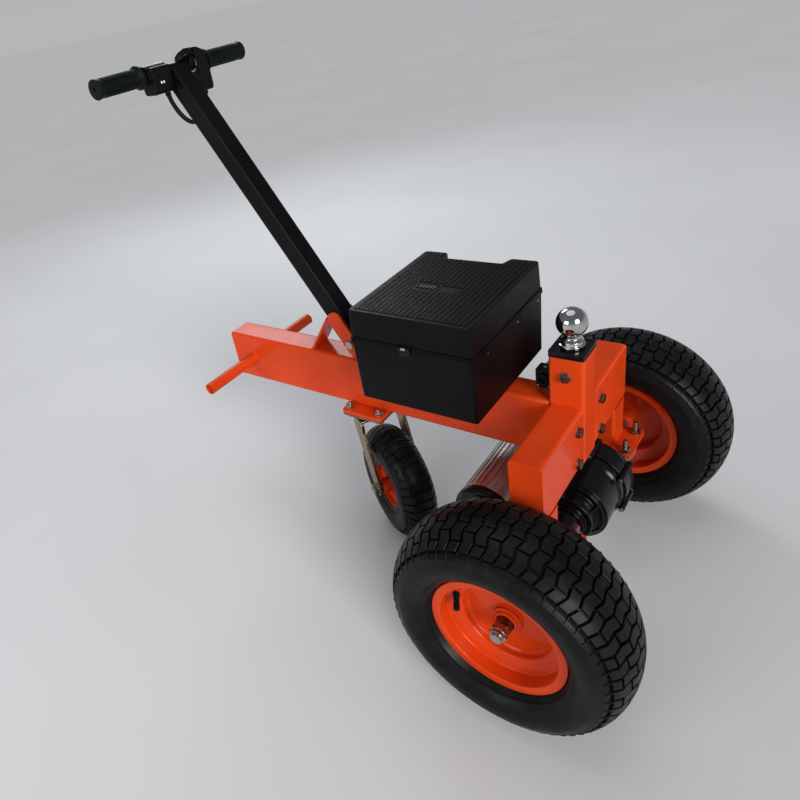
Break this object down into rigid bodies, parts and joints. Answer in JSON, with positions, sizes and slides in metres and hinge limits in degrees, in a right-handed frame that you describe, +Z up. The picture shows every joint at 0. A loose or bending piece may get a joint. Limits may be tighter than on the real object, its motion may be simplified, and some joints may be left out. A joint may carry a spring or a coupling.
{
  "type": "walk behind electric tug",
  "caption": "Walk-behind electric tug with two driven wheels on a transaxle, a box-section frame with a tow ball, a swivel caster, a battery box and a raked handle.",
  "frame": {"origin": "on the ground, in the middle of the overall width and length", "axes": "+X across the machine (the near wheel of the picture is at -X), +Y back towards the handle, +Z up"},
  "size_m": [0.74, 1.0225, 1.05],
  "materials": {
    "orange_paint": "gloss powder coat",
    "black_paint": "satin black paint",
    "black_plastic": "textured moulding",
    "black_rubber": "matt",
    "tyre_rubber": "matt",
    "chrome": "polished",
    "zinc_steel": "zinc plated",
    "yellow_zinc": "yellow zinc plated",
    "alloy": "cast, satin",
    "gear_steel": "machined"
  },
  "bodies": {
    "frame": {"main_beam": "orange_paint", "lift_bar": "orange_paint", "cross_arms": "orange_paint", "legs": "orange_paint", "foot_plates": "orange_paint", "ball_post": "orange_paint", "handle_ears": "orange_paint", "handle_brace": "orange_paint", "handle_tube": "black_paint", "handlebar": "black_paint", "left_grip": "black_rubber", "switch_housing": "black_plastic", "throttle_housing": "black_plastic", "control_cables": "black_rubber", "frame_bolts": "zinc_steel", "riser_bolt": "zinc_steel", "u_bolts": "zinc_steel", "axle_tubes": "black_paint", "diff_housing": "black_paint", "gear_case": "black_paint", "gear_cover": "black_paint", "case_bolts": "zinc_steel", "motor_body": "alloy", "motor_end_bell": "black_paint", "bearings": "gear_steel", "box_base": "black_plastic", "box_bolts": "zinc_steel", "batteries": "black_plastic", "controller": "alloy", "box_hinge_pin": "zinc_steel", "power_socket": "black_plastic", "caster_mount": "orange_paint", "caster_head": "yellow_zinc", "caster_bolts": "zinc_steel"},
    "riser": {"ball_riser": "black_paint", "tow_ball": "chrome", "ball_nut": "zinc_steel"},
    "left_wheel": {"left_tyre": "tyre_rubber", "left_rim": "orange_paint", "left_shaft": "gear_steel", "left_fittings": "zinc_steel"},
    "right_wheel": {"right_tyre": "tyre_rubber", "right_rim": "orange_paint", "right_shaft": "gear_steel", "right_fittings": "zinc_steel"},
    "caster_frame": {"caster_fork": "yellow_zinc", "caster_axle": "zinc_steel"},
    "caster_wheel": {"caster_tyre": "tyre_rubber", "caster_rim": "orange_paint"},
    "twist_grip": {"right_grip": "black_rubber"},
    "rocker": {"rocker": "black_plastic"},
    "lid": {"box_lid": "black_plastic", "gauge": "black_plastic"},
    "latch": {"box_latch": "zinc_steel"},
    "carrier": {"diff_carrier": "gear_steel"},
    "idler": {"idler_gear": "gear_steel"},
    "rotor": {"motor_rotor": "gear_steel"}
  },
  "joints": [
    {"name": "riser_slide", "type": "slide", "parent": "frame", "child": "riser", "axis": [0, 0, 1], "range_m": [0, 0.04]},
    {"name": "left_wheel_spin", "type": "hinge", "parent": "frame", "child": "left_wheel", "pos_m": [-0.292, -0.31, 0.2], "axis": [1, 0, 0], "continuous": true},
    {"name": "right_wheel_spin", "type": "hinge", "parent": "frame", "child": "right_wheel", "pos_m": [0.292, -0.31, 0.2], "axis": [1, 0, 0], "continuous": true},
    {"name": "caster_swivel", "type": "hinge", "parent": "frame", "child": "caster_frame", "pos_m": [0, 0.126, 0.289], "axis": [0, 0, 1], "continuous": true},
    {"name": "caster_wheel_spin", "type": "hinge", "parent": "caster_frame", "child": "caster_wheel", "pos_m": [-0.02781, 0.07971, 0.13], "axis": [0.8572, -0.515, 0], "continuous": true},
    {"name": "throttle_twist", "type": "hinge", "parent": "frame", "child": "twist_grip", "pos_m": [0.135, 0.49047, 1.018], "axis": [-1, 0, 0], "range_deg": [0, 60], "stiffness_Nm_per_rad": 0.4},
    {"name": "rocker_tilt", "type": "hinge", "parent": "frame", "child": "rocker", "pos_m": [-0.05, 0.47547, 1.006], "axis": [1, 0, 0], "range_deg": [-8, 8]},
    {"name": "lid_hinge", "type": "hinge", "parent": "frame", "child": "lid", "pos_m": [0.1458, -0.0755, 0.556], "axis": [0, 1, 0], "range_deg": [0, 100]},
    {"name": "latch_hinge", "type": "hinge", "parent": "lid", "child": "latch", "pos_m": [-0.143, -0.0695, 0.559], "axis": [0, 1, 0], "range_deg": [0, 90]},
    {"name": "carrier_spin", "type": "hinge", "parent": "frame", "child": "carrier", "pos_m": [0, -0.31, 0.2], "axis": [1, 0, 0], "continuous": true},
    {"name": "idler_spin", "type": "hinge", "parent": "frame", "child": "idler", "pos_m": [0, -0.24267, 0.21508], "axis": [1, 0, 0], "continuous": true},
    {"name": "rotor_spin", "type": "hinge", "parent": "frame", "child": "rotor", "pos_m": [0, -0.185, 0.228], "axis": [1, 0, 0], "continuous": true}
  ],
  "couplings": [
    {"joint": "idler_spin", "follows": "carrier_spin", "ratio": -4},
    {"joint": "rotor_spin", "follows": "carrier_spin", "ratio": 16}
  ]
}
